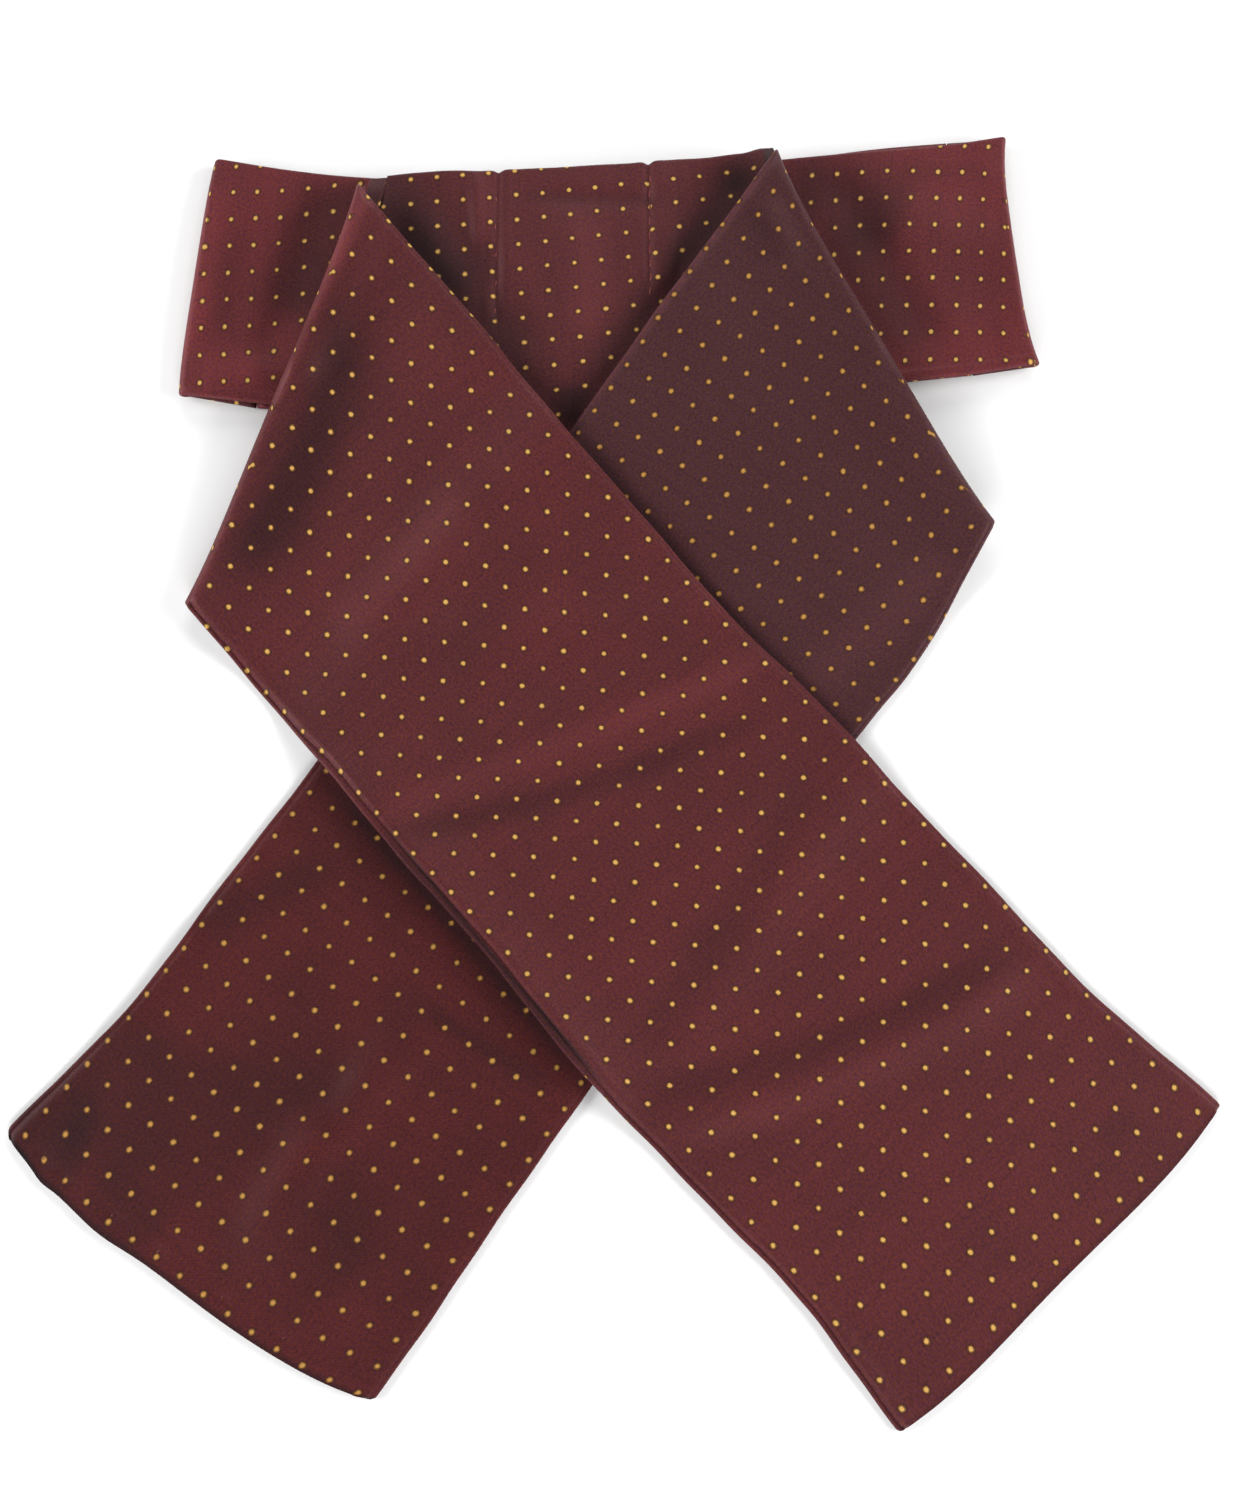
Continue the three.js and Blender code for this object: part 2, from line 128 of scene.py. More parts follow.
SCARF_CENTRE = [  # A is the top edge, B the bottom one, from under the left fold to under the right
    (-54.5, 136.3, -75.8, 32.7, 0, -6.86, -3.3, -10.41, 12.55),
    (-44.0, 137.2, -60.0, 34.3, 0, -5.21, -3.3, -8.16, 12.55),
    (-30.0, 137.1, -42.0, 36.1, 0, -2.96, -3.15, -5.56, 12.6),
    (-14.0, 138.3, -20.0, 38.4, 0, -0.41, -3.05, -2.41, 12.65),
    (4.0, 139.2, 4.0, 40.8, 0, 2.49, -2.9, 0.99, 12.85),
    (20.0, 140.4, 28.0, 43.3, 0, 5.04, -2.8, 4.44, 13.05),
    (30.0, 141.9, 48.0, 45.3, 0, 6.59, -2.8, 7.29, 13.3),
    (35.4, 143.0, 66.5, 47.2, 0, 7.39, -2.75, 9.89, 13.6),
]
TAIL_UNDER = [  # A is the outer edge, B the inner one at the V, from the right fold to the hem
    (88.6, 50.2, 39.3, 142.9, -2.4, -0.67, 8.6, -7.42, -5.9),
    (70.5, 18.6, 14.7, 107.6, 0, 4.73, 9.15, -1.47, -6.21),
    (51.0, -5.9, -9.3, 72.6, 0, 9.68, 9.45, 4.73, -6.36),
    (31.0, -31.6, -34.0, 38.7, 0, 14.83, 9.57, 11.28, -5.88),
    (11.0, -57.5, -59.5, 5.0, 0, 19.91, 9.68, 17.76, -5.62),
    (-10.5, -86.0, -83.0, -27.0, -0.5, 25.32, 9.3, 24.12, -5.45),
    (-31.5, -116.4, -105.7, -58.8, -2, 30.96, 9.5, 30.31, -5.25),
    (-51.0, -144.0, -133.1, -88.5, -4.5, 36.13, 9.57, 36.58, -5.63),
]
TAIL_OVER = [  # A is the outer edge, B the inner one at the V, from the left fold to the hem
    (-99.4, 30.9, -62.1, 134.3, 1.6, -8.2, -11.04, -14.7, 4.07),
    (-75.5, 3.7, -34.3, 100.3, 0, -2.85, -11.23, -9.2, 4.01),
    (-51.5, -24.2, -8.8, 67.9, 0, 2.9, -11.46, -3.28, 3.67),
    (-28.5, -50.0, 18.4, 36.5, 0, 8.55, -11.65, 2.97, 3.4),
    (-4.5, -78.4, 47.1, 6.7, 0, 14.4, -11.95, 9.45, 3.37),
    (19.5, -102.5, 75.5, -24.5, 0.5, 19.52, -11.73, 16.07, 3.22),
    (42.0, -126.0, 103.8, -55.8, 1.5, 24.33, -11.45, 22.63, 3.2),
    (59.9, -150.1, 132.6, -82.3, 2.4, 28.5, -11.55, 28.5, 3.8),
]

# A fold's cloth returns under it from a start line to an end line, each given at A and at B. lift is
# how far it stands open at A and at B, and soft how far the layer above takes to settle.
FOLDS = {
    "band_left": dict(start=((-95.0, 142.1), (-100.6, 82.0)), end=((-83.0, 139.0), (-85.0, 79.1)),
                      lift=(0.7, 0.7), soft=12, lower="back_left"),
    "band_right": dict(start=((92.8, 148.2), (98.4, 89.2)), end=((81.0, 147.0), (85.0, 86.9)),
                       lift=(0.7, 0.7), soft=12, lower="back_right"),
    "tail_under": dict(start=((85.8, 49.9), (38.0, 143.2)), end=((66.9, 47.2), (34.8, 143.0)),
                       lift=(1.5, 2.6), soft=22, lower="centre"),
    "tail_over": dict(start=((-96.7, 31.2), (-58.8, 135.6)), end=((-76.2, 32.7), (-54.6, 135.8)),
                      lift=(1.5, 2.6), soft=22, lower="centre"),
}

# Soft ridges in a layer, and troughs where the height is below 0: start x, y, end x, y, bow of its
# line, height, and how far it spreads to the left and to the right of the way from start to end
RIDGES = {
    "back_left": [
        (-88, 88, -70, 86, 0, 0.4, 5, 5),
    ],
    "back_right": [],
    "front": [
        (-99, 84, -70, 92, 0, 0.5, 9, 9),
        (-99, 136, -100, 92, -1, 0.6, 7, 5),
        (-70, 134, -82, 88, 0, -0.7, 8, 8),
        (66, 128, 98, 118, 2, 0.5, 12, 12),
        (94, 140, 99, 100, -1, 0.6, 5, 7),
        (52, 138, 76, 92, 0, -0.7, 8, 8),
    ],
    "centre": [
        (-59.5, 133, -80, 80, 0, 2.2, 14, 9),
        (39.5, 142, 66, 90, 0, 2.2, 9, 14),
        (-33.3, 137, -32.4, 118, 0, 0.7, 3, 3),
        (-44, 134, -20, 92, 0, -0.7, 8, 9),
        (-19, 130.5, 12, 129.5, 0, -0.4, 4, 4),
        (12.5, 140, 12.5, 104, 0, 0.5, 3.5, 4.5),
        (-10, 126, -8, 84, 0, 0.6, 10, 10),
        (26, 138, 10, 96, 0, -0.6, 9, 7),
    ],
    "under": [
        (42, 144, -42, 26, 0, 1.2, 40, 34),
        (44, 148, 8, 96, 0, 1.2, 30, 26),
        (-92, -46, -62, -25, 0, -0.7, 9, 9),
        (-131, -88, -106, -72, 0, -1.0, 9, 10),
        (-118, -66, -92, -40, 0, 1.0, 10, 10),
        (-62, -88, -62, -74, 0, -0.6, 8, 8),
        (-60, -112, -58, -100, 0, -0.6, 8, 8),
        (-78, -116, -42, -66, -4, 1.4, 10, 10),
        (-40, -113, -11, -75, 0, -0.5, 5, 6),
        (40, 112, 74, 66, 5, 0.6, 16, 16),
        (34, 128, 42, 112, 0, -0.7, 8, 8),
    ],
    "over": [
        (-61, 134, 26, 28, 0, 1.2, 34, 44),
        (-64, 138, -24, 90, 0, 1.2, 28, 30),
        (-62, 22, -30, 58, 0, 1.0, 12, 12),
        (-24, 46, -43, 10, 0, -0.5, 7, 7),
        (-52, -13, 34, 20, 0, 1.3, 13, 8),
        (-51, -23, 30, 4, 2.5, -0.8, 6, 9),
        (47, -9, 6, -73, 0, -0.5, 9, 11),
        (8, -87, 90, -54, 3.5, 1.4, 11, 9),
        (6, -89, 55, -142, 0, 0.5, 5, 7),
        (-68, -4, -4, -80, 0, 3.4, 18, 12),
        (62, -140, 78, -118, 0, -0.6, 9, 9),
    ],
}


# Painted shade and painted highlights on the silk, given as soft strokes in the way the ridges are: darker
# beside the raised tips, at the bottom of the V and in the shadows along the tails' edges, lighter along
# the fold rolls; some strokes are the silk's own uneven tone. The height is how much lighter or darker,
# from -1 to 1.
PAINTED_SHADING = {
    "back_left": [],
    "back_right": [],
    "front": [
        (-66, 136, -76, 100, 0, -0.52, 14, 17),
        (-90, 124, -94, 98, 0, -0.2, 5, 5),
        (-98, 88, -84, 88, 0, 0.3, 9, 9),
        (-97, 134, -103, 88, 0, 0.22, 7, 7),
        (42, 136, 70, 126, 0, -0.5, 20, 18),
        (54, 124, 72, 92, 0, -0.36, 14, 15),
        (50, 116, 100, 110, 0, -0.14, 24, 24),
        (70, 138, 90, 139, 0, -0.15, 4, 6),
    ],
    "centre": [
        (-60, 138, -36, 104, 0, -0.42, 18, 14),
        (-54, 126, -14, 74, 0, -0.42, 12, 12),
        (-34, 118, -20, 92, 0, -0.2, 9, 9),
        (-31.5, 136, -31, 118, 0, 0.25, 3, 3),
        (-22, 130, 12, 129, 0, -0.3, 3, 3),
        (-6, 124, -7, 96, 0, 0.25, 8, 8),
        (34, 139, -12, 74, 0, -0.42, 9, 8),
        (32, 138, 14, 112, 0, -0.25, 10, 14),
        (27, 140, 30, 132, 0, -0.25, 9, 9),
        (-9, 82, -11, 73, 0, -0.4, 7, 7),
    ],
    "under": [
        (33, 126, 37, 112, 0, -0.2, 7, 7),
        (43, 139, 86, 54, 0, 0.5, 3, 3),
        (38.5, 141, -9, 73.5, 0, 0.65, 2.5, 2.5),
        (-9, 68, 50, 2, 1, -0.5, 3, 3),
        (44, 12, 78, 40, 0, 0.2, 10, 10),
        (-70, -8, -105, -60, 0, 0.15, 2.5, 2.5),
        (-90, -44, -64, -28, 0, -0.3, 8, 8),
        (-112, -70, -54, -80, 2, -0.3, 12, 14),
        (-120, -88, -70, -90, 0, -0.25, 14, 16),
        (-132, -86, -114, -90, 0, -0.5, 22, 22),
        (-112, -98, -98, -110, 0, -0.3, 12, 12),
        (-62, -94, -54, -118, 0, -0.25, 13, 13),
        (-72, -92, -77, -116, 0, 0.12, 6, 6),
        (-42, -100, -58, -128, 0, 0.12, 7, 7),
        (-42, -61, -14, -79, 0, -0.35, 4, 4),
        (-65, -10, -6, -77, 0, -0.7, 3.5, 3.5),
    ],
    "over": [
        (-52, -22.5, -3.8, -77.8, 0.3, -0.6, 1.5, 1.5),
        (-49, -24, -3, -77, 0.3, -0.8, 0.9, 0.9),
        (-62, 110, -88, 36, -5, -0.36, 20, 15),
        (-63, 98, -88, 38, -5, -0.3, 13, 10),
        (-60, 131, -98.5, 32, 1, 1, 4.5, 4.5),
        (-32, 54, -62, 24, 0, 0.15, 9, 9),
        (-20, 44, -36, 14, 0, -0.12, 12, 12),
        (-52, -17, 34, 18, 2, 0.18, 6, 6),
        (-51, -23, 30, 3, 3, -0.32, 5, 6),
        (46, -8, 6, -72, 0, -0.18, 8, 8),
        (2, -81, 88, -50, 3.5, -0.25, 7, 7),
        (10, -91, 92, -54, 3.5, 0.08, 5, 5),
        (114, -84, 106, -90, 0, -0.2, 6, 6),
    ],
}


# ---- sums on the plan --------------------------------------------------------------------------
RIDGE_PAST = 0.12  # how far a ridge runs past its ends, as a share of its length
RIDGE_FADE = 0.3  # and the share over which it fades


def mix(start, end, share):
    return start + (end - start) * share


def ease(value):
    t = np.clip(value, 0, 1)
    return np.where(t < 0.5, 2 * t * t, 1 - 2 * (1 - t) ** 2)


def swell(away, width):
    """1 on a line, and hardly anything at twice the width away from it."""
    return np.exp(-(away / width) ** 2)


def smooth_column(values, along):
    """A smooth line through the values, at shares of its length."""
    count = len(values)
    ends = np.concatenate([[2 * values[0] - values[1]], values, [2 * values[-1] - values[-2]]])
    place = np.clip(along, 0, 1) * (count - 1)
    first = np.minimum(place.astype(int), count - 2)
    w = place - first
    a, b, c, d = ends[first], ends[first + 1], ends[first + 2], ends[first + 3]
    return b + 0.5 * w * (c - a + w * (2 * a - 5 * b + 4 * c - d + w * (3 * (b - c) + d - a)))


def plan(table, along, across):
    """Plan place of a share along a strip and a share across it, from A to B."""
    ax, ay, bx, by, bow = [smooth_column(table[:, k], along) for k in range(5)]
    way_x, way_y = bx - ax, by - ay
    length = np.hypot(way_x, way_y)
    bulge = bow * (1 - (2 * np.clip(across, 0, 1) - 1) ** 4)
    return ax + way_x * across + way_y / length * bulge, ay + way_y * across - way_x / length * bulge


def cloth_place(table, along, across):
    """The same place on the cloth's pattern, in dots along and across."""
    a_along, a_across, b_along, b_across = [smooth_column(table[:, k], along) for k in range(5, 9)]
    return mix(a_along, b_along, across), mix(a_across, b_across, across)


def spot(places, table, along, across):
    """One spot, by plan or by cloth_place."""
    return np.concatenate(places(table, np.array([float(along)]), np.array([float(across)])))


def outline_of(table):
    side = np.arange(24) / 24
    end = np.arange(8) / 8
    runs = [(side, side * 0), (end * 0 + 1, end), (1 - side, side * 0 + 1), (end * 0, 1 - end)]
    return np.concatenate([np.column_stack(plan(table, *run)) for run in runs])


def distance_outside(points, x, y):
    """How far a place lies outside an outline, 0 inside it."""
    last, here = np.roll(points, 1, 0), points
    x, y = x[..., None], y[..., None]
    rise = np.where(here[:, 1] == last[:, 1], 1e-9, here[:, 1] - last[:, 1])
    meets = last[:, 0] + (here[:, 0] - last[:, 0]) * (y - last[:, 1]) / rise
    crossings = ((last[:, 1] > y) != (here[:, 1] > y)) & (x < meets)
    inside = crossings.sum(-1) % 2 == 1
    way = here - last
    share = ((x - last[:, 0]) * way[:, 0] + (y - last[:, 1]) * way[:, 1]) / (way ** 2).sum(1)
    share = np.clip(share, 0, 1)
    away = np.hypot(x - last[:, 0] - share * way[:, 0], y - last[:, 1] - share * way[:, 1])
    return np.where(inside, 0, away.min(-1))


def ridges(rows, x, y):
    """Height of the soft ridges at a place."""
    height = x * 0
    for x0, y0, x1, y1, bow, top, left, right in rows:
        length = math.hypot(x1 - x0, y1 - y0)
        way_x, way_y = (x1 - x0) / length, (y1 - y0) / length
        along = ((x - x0) * way_x + (y - y0) * way_y) / length
        line = bow * 4 * np.clip(along, 0, 1) * (1 - np.clip(along, 0, 1))
        off = (y - y0) * way_x - (x - x0) * way_y + line
        width = np.where(off > 0, left, right)
        across = np.clip(np.abs(off) / width, 0, 1)
        ends = ease((along + RIDGE_PAST) / RIDGE_FADE) * ease((1 + RIDGE_PAST - along) / RIDGE_FADE)
        height = height + top * ends * (0.5 + 0.5 * np.cos(np.pi * across))
    return height


FRONT, BACK_LEFT, BACK_RIGHT, CENTRE, UNDER, OVER = [
    np.array(rows, dtype=float)
    for rows in (BAND_FRONT, BAND_BACK_LEFT, BAND_BACK_RIGHT, SCARF_CENTRE, TAIL_UNDER, TAIL_OVER)
]


def fold_section(row):
    """A tail's first section, turned to go with the centre's."""
    return [row[2], row[3], row[0], row[1], 0, 0, 0, 0, 0]


# The layers from the table up. The backs and the centre reach to the fold lines.
LAYERS = [
    ("back_left", outline_of(np.vstack([FRONT[:1], BACK_LEFT])), BAND_RUN),
    ("back_right", outline_of(np.vstack([BACK_RIGHT, FRONT[-1:]])), BAND_RUN),
    ("front", outline_of(FRONT), BAND_RUN),
    ("centre", outline_of(np.vstack([fold_section(OVER[0]), CENTRE, fold_section(UNDER[0])])), SCARF_RUN),
    ("under", outline_of(UNDER), SCARF_RUN),
    ("over", outline_of(OVER), SCARF_RUN),
]


def resting(name, x, y, lift=None):
    """Where cloth of a layer comes to lie: its place, drawn in as it rises, and its underside's height."""
    low = x * 0
    rise = x * 0
    for layer, outline, run in LAYERS:
        if layer == name:
            break
        cover = 1 - ease((distance_outside(outline, x, y) - EDGE_CLEAR) / run)
        low = low + STEP * cover
        rise = rise + ridges(RIDGES[layer], x, y) * cover
    rise = np.maximum(rise + ridges(RIDGES[name], x, y), -low)
    if lift:
        rise = rise + lift(x, y)
    pull = rise * DRAW_IN
    return x - (x - DRAW_TO[0]) * pull, y - (y - DRAW_TO[1]) * pull, low + rise


# ---- walls of cloth ----------------------------------------------------------------------------
def section_columns(spacing):
    """Columns round a pressed tube, from the middle of its back over A and B and back again: the edge
    that each goes with, its part of the tube and its place there, an inset in millimetres or a share."""
    half = [("near", inset) for inset in reversed(EDGE_INSETS)]
    half += [("bend", k / EDGE_BENDS) for k in range(1, EDGE_BENDS)]
    half += [("back", k / BACK_COLUMNS) for k in range(1, BACK_COLUMNS)]
    half += [("back", BESIDE_SEAM), ("back", 1)]
    middle = [("middle", k / spacing) for k in range(1, spacing)]
    return [("a", *column) for column in half[::-1] + middle] + [("b", *column) for column in half]


def column_places(columns, width):
    """For each row and column: share across, face from 0 outer to 1 inner, share across as the cloth
    unrolls, and inset."""
    across, face, unrolled, inset = np.zeros((4, len(width), len(columns)))
    clear = EDGE_INSETS[-1] / width
    for k, (edge, part, place) in enumerate(columns):
        if part == "bend":
            turn = place * math.pi
            gap = ROLL * (1 - math.sin(turn)) / width
            face[:, k] = (1 - math.cos(turn)) / 2
            past = -gap - EDGE_TURN / width if place > 0.5 else gap
        elif part == "back":
            gap = mix(ROLL / width, 0.5, place)
            face[:, k] = 1 if place < 1 else 1 - SEAM_DIP / PRESSED
            past = -gap - EDGE_TURN / width
        else:
            gap = place / width if part == "near" else mix(clear, 1 - clear, place)
            past = gap
        across[:, k] = gap if edge == "a" else 1 - gap
        unrolled[:, k] = past if edge == "a" else 1 - past
        inset[:, k] = np.minimum(gap, 1 - gap) * width
    return across, face, unrolled, inset


def pattern_at(table, end):
    """How the pattern runs at a strip's end: its dots at A, and its dots for each millimetre."""
    places = [(end, 0), (end, 1), (abs(end - 0.02), 0.5), (end, 0.5)]
    spots = [spot(plan, table, *place) for place in places]
    dots = [spot(cloth_place, table, *place) for place in places]
    ways = np.column_stack([spots[1] - spots[0], spots[2] - spots[3]])
    return dots[0], np.column_stack([dots[1] - dots[0], dots[2] - dots[3]]) @ np.linalg.inv(ways)


class Strip:
    """Rows of one tube of cloth, from its hidden seam to its other end."""

    def __init__(self, layer, table, spacing, hem_shade=0):
        self.layer = layer
        self.table = table
        self.columns = section_columns(spacing)
        self.outer = []
        self.cloth = []
        self.tone = []
        self.hem_shade = hem_shade
        along = np.linspace(0, 1, 60)
        sides = [plan(table, along, along * 0 + share) for share in (0, 1)]
        self.full_length = max(np.hypot(np.diff(x), np.diff(y)).sum() for x, y in sides)
        a, b = spot(plan, table, 1, 0), spot(plan, table, 1, 1)
        ahead = (a + b) / 2 - spot(plan, table, 0.9, 0.5)
        self.turned = 1 if ahead[0] * (b[1] - a[1]) - ahead[1] * (b[0] - a[0]) > 0 else -1

    def width(self, along):
        ax, ay = plan(self.table, along, along * 0)
        bx, by = plan(self.table, along, along * 0 + 1)
        return np.hypot(bx - ax, by - ay)

    def lay(self, along, lift=None, dent=None, trim=None):
        """Rows that lie face up, at shares of the length."""
        across, face, unrolled, inset = column_places(self.columns, self.width(along))
        t = along[:, None]
        x, y = plan(self.table, t, across)
        if trim:
            x, y = trim(self, x, y, t, across)
        hem = 1 - ease((1 - t) * self.full_length / HEM_SHADE_RUN)
        # painted shade and painted highlights from the strokes, and darker towards the hem
        tone = ridges(PAINTED_SHADING[self.layer], x, y) - self.hem_shade * hem
        dip = dent(x, y, t, across, inset) if dent else 0
        x, y, low = resting(self.layer, x, y, lift)
        self.add(x, y, low + PRESSED + dip, x, y, low, face, cloth_place(self.table, t, unrolled), tone)

    def add(self, x, y, z, inner_x, inner_y, inner_z, face, cloth, tone):
        self.outer.append(np.stack([mix(x, inner_x, face), mix(y, inner_y, face), mix(z, inner_z, face)], -1))
        self.cloth.append(np.stack(cloth, -1))
        self.tone.append(tone)

    def fold(self, fold, end, along, lift):
        """The bend at a fold and the cloth that returns under it. end is 0 or 1 along the strip, and
        along the share at which the bend starts."""
        a, b = spot(plan, self.table, end, 0), spot(plan, self.table, end, 1)
        (ax, ay), (bx, by) = a, b
        length = math.hypot(bx - ax, by - ay)
        out = np.array([(by - ay) / length, -(bx - ax) / length])
        if (spot(plan, self.table, abs(end - 0.1), 0.5) - a) @ out > 0:
            out = -out
        across, face, unrolled, _ = column_places(self.columns, np.array([length]))
        first_x, first_y = plan(self.table, np.array([[float(along)]]), across)
        upper_x, upper_y, low = resting(self.layer, first_x, first_y, lift)
        fold_x, fold_y = plan(self.table, np.array([[float(end)]]), across)
        (start_a, start_b), (stop_a, stop_b) = fold["start"], fold["end"]
        start_x = mix(start_a[0], start_b[0], across) + (fold_x - mix(ax, bx, across))
        start_y = mix(start_a[1], start_b[1], across) + (fold_y - mix(ay, by, across))
        stop_x = mix(stop_a[0], stop_b[0], across)
        stop_y = mix(stop_a[1], stop_b[1], across)
        fold_x, fold_y = fold_x + upper_x - first_x, fold_y + upper_y - first_y
        under_x, under_y, return_low = resting(fold["lower"], start_x, start_y)
        height = low + PRESSED - return_low
        # painted shade and painted highlights from the strokes carry round the bend
        tone = ridges(PAINTED_SHADING[self.layer], first_x, first_y)
        rows = []
        for k in range(1, FOLD_BENDS + 1):
            turn = math.pi * k / FOLD_BENDS
            drop = (1 - math.cos(turn)) / 2
            reach = math.sin(turn)
            points = []
            for hold, upper, under in ((1, PRESSED, 0), (1 - PRESSED / FOLD_REACH, 0, PRESSED)):
                points += [
                    mix(mix(upper_x, under_x, drop), fold_x, reach * hold),
                    mix(mix(upper_y, under_y, drop), fold_y, reach * hold),
                    mix(low + upper, return_low + under, drop),
                ]
            past = math.copysign(FOLD_REACH * (1 - reach), turn - math.pi / 2) + drop * height
            rows.append((points, past, tone))
        run = np.abs((stop_x - start_x) * out[0] + (stop_y - start_y) * out[1])
        for k in range(1, RETURN_ROWS + 1):
            share = k / RETURN_ROWS
            x, y, z = resting(fold["lower"], mix(start_x, stop_x, share), mix(start_y, stop_y, share))
            past = FOLD_REACH + height + share * run
            # the cloth that returns under the fold gets painted shade
            rows.append(([x, y, z, x, y, z + PRESSED], past, 0 * tone + RETURN_PAINTED_SHADE))
        dots, runs = pattern_at(self.table, end)
        for points, past, shade in rows[::-1] if end == 0 else rows:
            way_x = mix(ax, bx, unrolled) + out[0] * past - ax
            way_y = mix(ay, by, unrolled) + out[1] * past - ay
            cloth = [dots[k] + runs[k, 0] * way_x + runs[k, 1] * way_y for k in (0, 1)]
            self.add(*points, face, cloth, shade)

    def close(self):
        """Last rows that round a free end off and close it."""
        last, before = self.outer[-1][-1], self.outer[-1][-2]
        ahead = last - before
        ahead[:, 2] = 0
        length = np.linalg.norm(ahead, axis=1, keepdims=True)
        cloth = self.cloth[-1][-1]
        run = (cloth - self.cloth[-1][-2]) / length
        for share, reach in HEM_ROUND:
            row = last + ahead / length * HEM_REACH * reach
            row[:, 2] = mix(last[:, 2], last[::-1, 2], share)
            self.outer.append(row[None])
            self.cloth.append((cloth + run * HEM_REACH * reach)[None])
            self.tone.append(self.tone[-1][-1:])


# ---- pieces ------------------------------------------------------------------------------------
def mesh_piece(name, form):
    mesh = bpy.data.meshes.new(name)
    form.to_mesh(mesh)
    form.free()
    return link(name, mesh)


def cloth_piece(name, strip):
    """The tube's mesh: a grid that is wrapped round, sewn to itself at the back and given a wall."""
    points = np.concatenate(strip.outer)
    dots = np.concatenate(strip.cloth)
    painted_shadings = np.concatenate(strip.tone)
    rows, count = points.shape[:2]
    points[..., :2] += PLAN_SHIFT
    form = bmesh.new()
    bmesh.ops.create_grid(form, x_segments=count - 1, y_segments=rows - 1, size=0.5)
    form.verts.ensure_lookup_table()
    pattern = form.loops.layers.uv.new("cloth")
    # the painted shade and highlights ride on the mesh in a map of their own
    painted_shading_uv = form.loops.layers.uv.new("painted_shading_uv")
    cells = {}
    for vert in form.verts:
        cells[vert.index] = (round((vert.co.y + 0.5) * (rows - 1)), round((vert.co.x + 0.5) * (count - 1)))
    for face in form.faces:
        face.smooth = True
        for loop in face.loops:
            cell = cells[loop.vert.index]
            loop[pattern].uv = dots[cell]
            loop[painted_shading_uv].uv = (painted_shadings[cell], 0)
    for vert in form.verts:
        vert.co = Vector(points[cells[vert.index]] * MM)
    bmesh.ops.remove_doubles(form, verts=form.verts[:], dist=SEWN_GAP * MM)
    bmesh.ops.recalc_face_normals(form, faces=form.faces[:])
    piece = mesh_piece(name, form)
    wall = piece.modifiers.new("wall", "SOLIDIFY")
    wall.thickness = PLY * MM
    wall.offset = -1
    return piece


def fold_lift(table, end, fold):
    """How far a layer stands up near a fold."""
    ax, ay = spot(plan, table, end, 0)
    bx, by = spot(plan, table, end, 1)
    length = math.hypot(bx - ax, by - ay)

    def lift(x, y):
        away = np.abs((bx - ax) * (y - ay) - (by - ay) * (x - ax)) / length
        share = np.clip(((x - ax) * (bx - ax) + (y - ay) * (by - ay)) / length ** 2, 0, 1)
        return mix(*fold["lift"], share) * (1 - ease((away - FOLD_REACH) / fold["soft"]))

    return lift


def shares(start, end, length, cell, hem=False):
    """Shares of the length from start to end, a cell apart, or closer at a hem."""
    steps = max(2, int(round((end - start) * length / cell)))
    along = np.linspace(start, end, steps + 1)
    if hem:
        fine = end - HEM_FINE / length
        coarse = along[along < fine - cell / length / 2]
        along = np.concatenate([coarse, np.arange(fine, end, FINE_STEP / length), [end]])
    return along


def wander(run, phase):
    """How a pressed edge strays from its line, in millimetres."""
    return 0.16 * np.sin(run / 9.3 + phase) + 0.07 * np.sin(run / 3.4 + 2.3 * phase)


WANDER_START = 25  # how far from a strip's start its edges begin to stray
HEM_WAVE_RUN = 12  # how far a hem's wave reaches into the strip
NOTCH_WIDTH = 0.9


def edge_trim(corners=(0, 0), hem=None, notches=()):
    """Shapes a strip's edges: corner roundings at A and B, the wave of its hem, and notches in A."""

    def trim(strip, x, y, t, across):
        run = t * strip.full_length
        left = strip.full_length - run
        ax, ay = plan(strip.table, t, t * 0)
        bx, by = plan(strip.table, t, t * 0 + 1)
        width = np.hypot(bx - ax, by - ay)
        way_x, way_y = (bx - ax) / width, (by - ay) / width
        start = ease(run / WANDER_START)
        moved = wander(run, 1.0) * start * (1 - across) ** 6 + wander(run, 2.6) * start * across ** 6
        for radius, share in ((corners[0], (1 - across) ** 3), (corners[1], -across ** 3)):
            depth = np.clip(radius - left, 0, radius)
            moved = moved + (radius - np.sqrt(radius ** 2 - depth ** 2)) * share
        x, y = x + way_x * moved, y + way_y * moved
        for place, depth in notches:
            moved = depth * swell(x - place, NOTCH_WIDTH) * (1 - across) ** 8
            x, y = x + way_x * moved, y + way_y * moved
        if hem:
            moved = hem(across) * ease((HEM_WAVE_RUN - left) / HEM_WAVE_RUN)
            x, y = x + way_y * moved * strip.turned, y - way_x * moved * strip.turned
        return x, y

    return trim


def tail(name, layer, table, dent, trim, hem_shade):
    strip = Strip(layer, table, TAIL_COLUMNS, hem_shade)
    fold = FOLDS["tail_" + layer]
    length = strip.full_length
    lift = fold_lift(table, 0, fold)
    start = FOLD_REACH / length
    strip.fold(fold, 0, start, lift)
    strip.lay(shares(start, 1 - HEM_REACH / length, length, TAIL_CELL, hem=True), lift, dent, trim)
    strip.close()
    return cloth_piece(name, strip)


def plain_strip(name, layer, table, spacing, cell, dent=None, trim=None, fine=()):
    """A strip without folds. fine gives the shares between which its rows lie close."""
    strip = Strip(layer, table, spacing)
    along = shares(0, 1, strip.full_length, cell)
    for low, high in fine:
        row = np.linspace(low, high, int((high - low) * strip.full_length / FINE_STEP))
        along = np.concatenate([along[along < low - 0.002], row, along[along > high + 0.002]])
    strip.lay(along, None, dent, trim)
    return cloth_piece(name, strip)


def band_dent(x, y, along, across, inset):
    """A faint raised line and groove along the bottom edge."""
    return 0.12 * np.where(across > 0.5, swell(inset - 1.6, 0.8) - swell(inset - 3, 0.6), 0)


